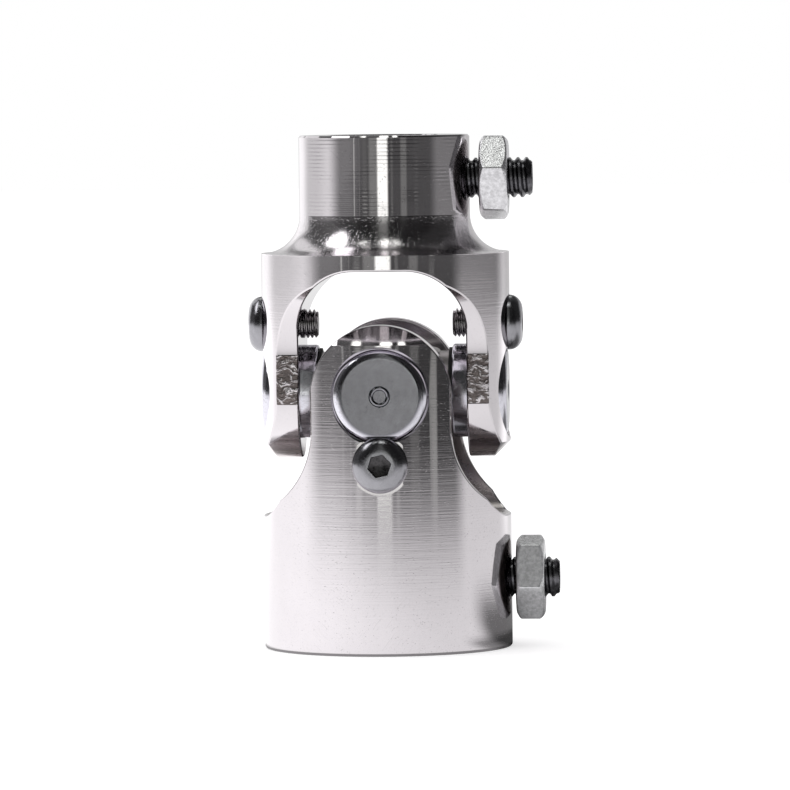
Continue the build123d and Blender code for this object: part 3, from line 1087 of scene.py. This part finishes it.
@dataclass
class JamNut(Piece):
    """A jam nut with rounded edges and a chamfer on both of its faces."""

    suffix: str = "rounded"
    slot: str = "nut_zinc"
    sharp_angle: float = 40.0
    face_share: float = 0.95
    chamfer_angle: float = 30.0
    corner_round: float = 0.3e-3
    edge_round: float = 0.12e-3
    edge_share: float = 0.87
    bore_radius: float = 3.37e-3
    bore_chamfer: float = 0.5e-3
    flat_steps: int = 8
    corner_steps: int = 4

    def outline(self, half: float, turn: float) -> list[Vector]:
        """Return the hexagon's outline with rounded corners.

        Args:
            half: Half the width across its flats.
            turn: The angle of one of its corners, in radians.
        """
        inner = half - self.corner_round
        centre = (inner, inner * math.tan(HEX_HALF_ANGLE))
        side = [Vector((half, centre[1] * (2.0 * step / self.flat_steps - 1.0)))
                for step in range(self.flat_steps + 1)]
        corner = arc(centre, self.corner_round, 0.0, 60.0, self.corner_steps)
        side += [Vector(point) for point in corner[1:-1]]
        turns = (Matrix.Rotation(turn + HEX_HALF_ANGLE * (2 * count - 1), 2) for count in range(6))
        return [turned @ point for turned in turns for point in side]

    def section(self, reach: float, face: float, thickness: float) -> Outline:
        """Return a section of the nut on one side of its axis, a closed loop.

        Args:
            reach: How far the hexagon reaches there.
            face: The radius at which the chamfers start.
            thickness: The nut's thickness.
        """
        slope, edge = math.tan(math.radians(self.chamfer_angle)), self.edge_round
        drop, inset = (reach - face) * slope, edge * self.edge_share
        half = [(self.bore_radius, self.bore_chamfer), (self.bore_radius + self.bore_chamfer, 0.0),
                (face - 2.0 * edge, 0.0), (face - edge, 0.0), (face + inset, inset * slope),
                (reach - inset, drop - inset * slope), (reach, drop + edge),
                (reach, drop + 2.0 * edge)]
        return half + [(radius, thickness - height) for radius, height in reversed(half)]

    def shape(self, bm: BMesh, length: float, radius: float) -> None:
        """Bridge the nut's sections round its axis, its corners where the solid's are."""
        unplace = self.way.frame_at(self.way.span(self.node)[0]).inverted()
        spots = ((unplace @ vert.co).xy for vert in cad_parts[self.node].data.vertices)
        corner = max(spots, key=lambda spot: spot.length)
        half = corner.length * math.cos(HEX_HALF_ANGLE)
        loops = []
        for spot in self.outline(half, math.atan2(corner.y, corner.x)):
            out = spot.normalized()
            section = self.section(spot.length, half * self.face_share, length)
            loops.append([bm.verts.new((out.x * reach, out.y * reach, height))
                          for reach, height in section])
        for first, second in zip(loops, loops[1:] + loops[:1]):
            for index in range(len(first)):
                bm.faces.new((first[index - 1], second[index - 1], second[index], first[index]))


@dataclass
class Bearing:
    """One trunnion's bearing, with the screw that holds it in its ear."""

    name: str
    body: str
    way: Way

    def build(self) -> None:
        """Dress the rollers, the disc and the seal, and make the cup and the screw."""
        dress("needle_rollers_" + self.name, NEEDLE_STEEL)
        dress("thrust_disc_" + self.name, DISC_POLYMER)
        dress("trunnion_seal_" + self.name, SEAL_RUBBER)
        BearingCup("bearing_cup_" + self.name, self.body, self.way).build()
        RetainingScrew("retaining_screw_" + self.name, self.body, self.way).build()


@dataclass
class Yoke:
    """One yoke with its set screw and jam nut."""

    name: str
    finish: TurnedNickel
    nut_finish: ZincPlate

    def build(self) -> None:
        """Dress the yoke, and make its nut and its set screw."""
        dress(self.name + "_yoke", self.finish)
        JamNut(self.name + "_jam_nut", self.name, finishes=(self.nut_finish,)).build()
        ThreadedSetScrew(self.name + "_set_screw", self.name).build()


@dataclass(frozen=True)
class Panel:
    """An upright panel in the studio, which the metal reflects.

    It shows its level within the bay round the joint and its far level beyond.
    Azimuths are measured from the camera, to the right as it looks.
    """

    azimuth: float
    half_width: float
    blur: float
    level: float
    far_level: float
    warm: bool = False


@dataclass(frozen=True)
class Taper:
    """A light over the horizon that narrows and fades as it rises."""

    azimuth: float = -2.4
    half_width: float = 6.0
    blur: float = 2.5
    level: float = 0.35
    foot: float = 2.0
    fade_start: float = 13.0
    height: float = 28.0


@dataclass(frozen=True)
class Beam:
    """A bright strip along the ceiling, over the joint and in front of it."""

    offset: float
    half_width: float
    strength: float
    blur: float = 0.012
    heights: Span = (0.95, 0.97)
    depths: Span = (0.03, 0.09)


@dataclass(frozen=True)
class Shade:
    """A painted shadow on the reflected floor, over a range of azimuths and out to a reach."""

    azimuths: Span
    blur: float
    reaches: Span
    depth: float

    def left(self, bench: Bench, azimuth: Socket, reach: Socket) -> Socket:
        """Return the share of light that the shade leaves at a place."""
        within = bench.ramp(reach, *self.reaches, self.depth, 0.0)
        return bench.rest(bench.product(bench.band(azimuth, *self.azimuths, self.blur), within))


@dataclass(frozen=True)
class SoftBox:
    """A soft box that hangs round the joint and faces it."""

    name: str
    azimuth: float
    elevation: float
    distance: float
    size: Span
    radiance: float
    lean: float = 0.0

    def hang(self, centre: Vector, camera_azimuth: float) -> None:
        """Hang the lamp.

        Args:
            centre: What it faces.
            camera_azimuth: Where its azimuth is measured from.
        """
        data = bpy.data.lights.new(self.name, "AREA")
        data.shape = "ELLIPSE"
        data.size, data.size_y = self.size
        data.energy = self.radiance * math.pi * self.size[0] * self.size[1]
        out = heading(self.azimuth + camera_azimuth, self.elevation)
        lean = Matrix.Rotation(math.radians(self.lean), 4, "Z")
        aim = out.to_track_quat("Z", "Y").to_matrix().to_4x4() @ lean
        add_object(self.name, data).matrix_world = (
            Matrix.Translation(centre + out * self.distance) @ aim)


@dataclass
class Studio:
    """The pale floor, the room that the metal reflects, and the lamps.

    Near the joint the floor is bright all round, with painted light brighter to
    the left and painted shadows of the joint, of the lower nut and round the
    joint's foot, which show only in reflections. In front of the joint that
    light falls off over a bay, past which stand the panels and the dark room.
    Reaches are distances from the joint's axis.
    """

    camera_azimuth: float
    floor_radius: float = 4.0
    floor_sides: int = 96
    floor_colour: Colour = (0.8, 0.79, 0.8)
    lift: float = 0.5
    plain_level: float = 0.8
    # Painted light: the near floor that the metal sees is brighter to the left.
    near_azimuths: Span = (-70.0, 45.0)
    near_levels: Span = (1.3, 0.92)
    fade_start: float = 0.05
    fade_azimuths: Span = (-60.0, 0.0)
    fade_ends: Span = (0.95, 0.62)
    bay_reaches: Span = (1.41, 1.49)
    # Painted shadows on the reflected floor: the joint's cast shadow, and the shade under the
    # lower nut.
    cast_shade: Shade = Shade((83.0, 167.0), 12.0, (0.078, 0.182), 0.8)
    nut_shade: Shade = Shade((62.0, 140.0), 10.0, (0.0336, 0.0504), 0.7)
    # Painted shade round the joint's foot on the reflected floor.
    foot_shade_reaches: Span = (0.0212, 0.0255)
    foot_shade_level: float = 0.3
    glow_reaches: Span = (0.35, 0.49)
    flag_azimuths: Span = (-11.0, 11.0)
    flag_reaches: Span = (0.66, 1.1)
    flag_blurs: Span = (2.0, 0.03)
    gold: Colour = (1.0, 1.03, 0.97)
    dark_level: float = 0.03
    far_dark_level: float = 0.1
    sky_share: float = 0.12
    front_elevations: Span = (-0.5, 2.0)
    back_elevations: Span = (14.0, 26.0)
    back_azimuths: Span = (116.0, 132.0)
    rear_azimuths: Span = (163.0, 169.0)
    rear_elevations: Span = (35.0, 52.0)
    rear_blur: float = 2.0
    rear_level: float = 0.9
    taper: Taper = Taper()
    panels: tuple[Panel, ...] = (
        Panel(-120.0, 48.0, 12.0, 1.15, 0.66),
        Panel(-65.0, 28.0, 14.0, 0.05, 0.16),
        Panel(108.0, 38.0, 8.0, 0.72, 0.13),
        Panel(180.0, 46.0, 12.0, 0.8, 0.5),
        Panel(-2.4, 6.8, 1.6, 1.3, 1.5, True),
        Panel(-14.5, 6.0, 2.5, 0.2, 0.17, True),
        Panel(-26.0, 3.0, 2.0, 0.35, 0.04, True),
        Panel(-33.7, 0.3, 0.3, 0.2, 0.1, True),
        Panel(-41.0, 0.7, 0.5, 0.1, 0.4, True),
        Panel(10.0, 1.4, 1.0, 0.3, 0.05, True),
        Panel(26.0, 4.0, 1.5, 0.06, 0.13, True),
        Panel(43.5, 2.5, 1.0, 0.3, 0.0, True),
    )
    beams: tuple[Beam, ...] = (
        Beam(-0.25, 0.035, 2.4), Beam(0.0, 0.05, 2.6), Beam(0.13, 0.025, 2.4))
    boxes: tuple[SoftBox, ...] = (
        SoftBox("overhead_box_left", -94.0, 56.0, 1.0, (0.95, 0.3), 2.0, -25.0),
        SoftBox("soft_box_rear", -150.0, 34.0, 1.3, (0.6, 0.5), 0.6),
    )

    def directions(self, bench: Bench, way: Socket) -> tuple[Socket, list[Socket]]:
        """Measure a direction, or a place on the floor, from the camera.

        Args:
            bench: The bench to work on.
            way: The direction or place.

        Returns:
            Its azimuth, and its three parts with X to the camera's right.
        """
        parts = bench.split(bench.turn(way, (0.0, 0.0, -math.radians(self.camera_azimuth))))
        turn = bench.calc("ARCTAN2", parts[0], bench.product(parts[1], -1.0))
        return bench.calc("DEGREES", turn), parts

    def warmed(self, bench: Bench, plain: object, warm: object) -> Socket:
        """Return the colour of a plain light and a slightly golden one together."""
        return bench.join(*(bench.plus(plain, warm, share) for share in self.gold))

    def surround(self, bench: Bench, azimuth: Socket, far: object, glow: object) -> Socket:
        """Return the colour of what stands round the joint.

        Args:
            bench: The bench to work on.
            azimuth: The azimuth that is looked along.
            far: 0 within the bay, and 1 beyond it.
            glow: How much of the warm panels shows.
        """
        plain, warm = bench.blend(far, self.dark_level, self.far_dark_level), 0.0
        for panel in self.panels:
            seen = bench.calc("ABSOLUTE", azimuth) if panel.azimuth == 180.0 else azimuth
            mask = bench.around(seen, panel.azimuth, panel.half_width, panel.blur)
            light = bench.product(mask, bench.blend(far, panel.level, panel.far_level))
            if panel.warm:
                warm = bench.calc("ADD", light, warm)
            else:
                plain = bench.calc("ADD", light, plain)
        return self.warmed(bench, plain, bench.product(warm, glow))

    def reflected_floor(self, bench: Bench) -> Socket:
        """Return the colour that the metal sees on the floor, its painted shadows included."""
        azimuth, parts = self.directions(bench, bench.coordinates("Object"))
        reach = bench.reach(parts[0], parts[1])
        near = bench.product(
            bench.ramp(azimuth, *self.near_azimuths, *self.near_levels),
            self.cast_shade.left(bench, azimuth, reach),
            self.nut_shade.left(bench, azimuth, reach),
            bench.ramp(reach, *self.foot_shade_reaches, self.foot_shade_level, 1.0))
        fade_end = bench.ramp(azimuth, *self.fade_azimuths, *self.fade_ends)
        flag = bench.product(bench.band(azimuth, *self.flag_azimuths, self.flag_blurs[0]),
                             bench.band(reach, *self.flag_reaches, self.flag_blurs[1]))
        glow = bench.product(bench.ramp(reach, *self.glow_reaches), bench.rest(flag))
        around = self.surround(bench, azimuth, bench.ramp(reach, *self.bay_reaches), glow)
        away = bench.ramp(reach, self.fade_start, fade_end)
        return bench.mix(away, bench.join(near, near, near), around)

    def floor(self) -> Object:
        """Lay the floor and return it."""
        bm = bmesh.new()
        bmesh.ops.create_circle(
            bm, cap_ends=True, segments=self.floor_sides, radius=self.floor_radius)
        mesh = bpy.data.meshes.new("studio_floor")
        bm.to_mesh(mesh)
        bm.free()
        mesh.materials.append(self.floor_material())
        floor = add_object("studio_floor", mesh)
        return floor

    def floor_material(self) -> bpy.types.Material:
        """Return a floor that is white to the camera and the bay to the metal."""
        made = bpy.data.materials.new("studio_floor_paper")
        bench = Bench.cleared(made)
        rays = bench.node("ShaderNodeLightPath").outputs
        glossy = rays["Is Glossy Ray"]
        colour = bench.mix(glossy, self.floor_colour, BLACK)
        paper = bench.node("ShaderNodeBsdfDiffuse", {"Color": colour})
        seen = bench.calc("MAXIMUM", rays["Is Camera Ray"], rays["Is Transmission Ray"])
        lifted = bench.product(seen, self.lift)
        lit = bench.mix(glossy, bench.join(lifted, lifted, lifted), self.reflected_floor(bench))
        glow = bench.node("ShaderNodeEmission", {"Color": lit})
        both = bench.node("ShaderNodeAddShader", (paper.outputs[0], glow.outputs[0]))
        bench.end("ShaderNodeOutputMaterial", both)
        return made

    def reflected_room(self, bench: Bench) -> Socket:
        """Return the colour that the metal sees in the room."""
        azimuth, parts = self.directions(bench, bench.coordinates("Generated"))
        taper = self.taper
        elevation = bench.calc("DEGREES", bench.calc("ARCSINE", parts[2]))
        aside = bench.calc("ABSOLUTE", azimuth)
        shares = (bench.ramp(elevation, *heights, 1.0, self.sky_share)
                  for heights in (self.front_elevations, self.back_elevations))
        share = bench.blend(bench.ramp(aside, *self.back_azimuths), *shares)
        room = bench.scaled(self.surround(bench, azimuth, 1.0, 1.0), share)
        rear = bench.product(
            bench.ramp(aside, *self.rear_azimuths, 0.0, self.rear_level),
            bench.band(elevation, *self.rear_elevations, self.rear_blur))
        half = bench.ramp(elevation, 0.0, taper.height, taper.half_width, 0.0)
        low, high = (bench.calc(way, taper.azimuth, half) for way in ("SUBTRACT", "ADD"))
        light = bench.calc("ADD", rear, bench.product(
            bench.band(azimuth, low, high, taper.blur),
            bench.ramp(elevation, 0.0, taper.foot, 0.0, taper.level),
            bench.ramp(elevation, taper.fade_start, taper.height, 1.0, 0.0)))
        for beam in self.beams:
            light = bench.calc("ADD", light, bench.product(
                bench.around(parts[0], beam.offset, beam.half_width, beam.blur),
                bench.ramp(parts[2], *beam.heights, 0.0, beam.strength),
                bench.ramp(parts[1], *beam.depths, 1.0, 0.0)))
        return bench.vector("ADD", room, self.warmed(bench, 0.0, light))

    def room(self) -> None:
        """Make the world: white to the camera, the room to the metal, plain light for the rest."""
        world = bpy.data.worlds.new("studio_room")
        bpy.context.scene.world = world
        bench = Bench.cleared(world)
        rays = bench.node("ShaderNodeLightPath").outputs
        metal = bench.calc("MAXIMUM", rays["Is Glossy Ray"], rays["Is Transmission Ray"])
        seen = bench.mix(metal, (self.plain_level,) * 3, self.reflected_room(bench))
        seen = bench.mix(rays["Is Camera Ray"], seen, WHITE)
        bench.end("ShaderNodeOutputWorld", bench.node("ShaderNodeBackground", {"Color": seen}))

    def build(self) -> None:
        """Build the floor, the room and the lamps."""
        self.floor()
        self.room()
        centre = (cad_box[0] + cad_box[1]) / 2
        for box in self.boxes:
            box.hang(centre, self.camera_azimuth)


@dataclass
class PhotoCamera:
    """The camera, where the photograph's was."""

    azimuth: float = 3.3
    elevation: float = 2.9
    distance: float = 1.1
    lens: float = 300.0
    sensor: float = 36.0
    roll: float = 0.6
    clip: Span = (0.01, 20.0)

    def build(self, pivot: Vector) -> None:
        """Place the camera so that the pivot lands on its pixel.

        Args:
            pivot: Where the trunnions cross.
        """
        out = heading(self.azimuth, self.elevation)
        across = UP.cross(out).normalized()
        up = out.cross(across)
        roll = math.radians(self.roll)
        right = across * math.cos(roll) - up * math.sin(roll)
        top = across * math.sin(roll) + up * math.cos(roll)
        pixel = self.distance * self.sensor / self.lens / PHOTO_SIDE
        shift_right, shift_down = ((PHOTO_SIDE / 2 - spot) * pixel for spot in PIVOT_PIXEL)
        spot = pivot + right * shift_right - top * shift_down + out * self.distance
        data = bpy.data.cameras.new("photo_camera")
        data.lens, data.sensor_width = self.lens, self.sensor
        data.clip_start, data.clip_end = self.clip
        camera = add_object("photo_camera", data)
        turn = Matrix((right, top, out)).transposed().to_4x4()
        camera.matrix_world = Matrix.Translation(spot) @ turn
        bpy.context.scene.camera = camera


def main() -> None:
    """Build the camera, the joint and the studio."""
    logging.basicConfig(level=logging.INFO, format="%(message)s")
    bpy.context.scene.view_settings.view_transform = "Standard"
    camera = PhotoCamera()
    low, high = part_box("cross")
    camera.build((low + high) / 2)
    Yoke("lower", LOWER_NICKEL, LOWER_ZINC_LIT).build()
    Yoke("upper", UPPER_NICKEL, UPPER_ZINC).build()
    dress("cross", CROSS_STEEL)
    for way, body in ((Way.FRONT, "lower"), (Way.REAR, "lower"),
                      (Way.LEFT, "upper"), (Way.RIGHT, "upper")):
        Bearing(way.name.lower(), body, way).build()
    Studio(camera.azimuth).build()


if __name__ == "__main__":
    main()
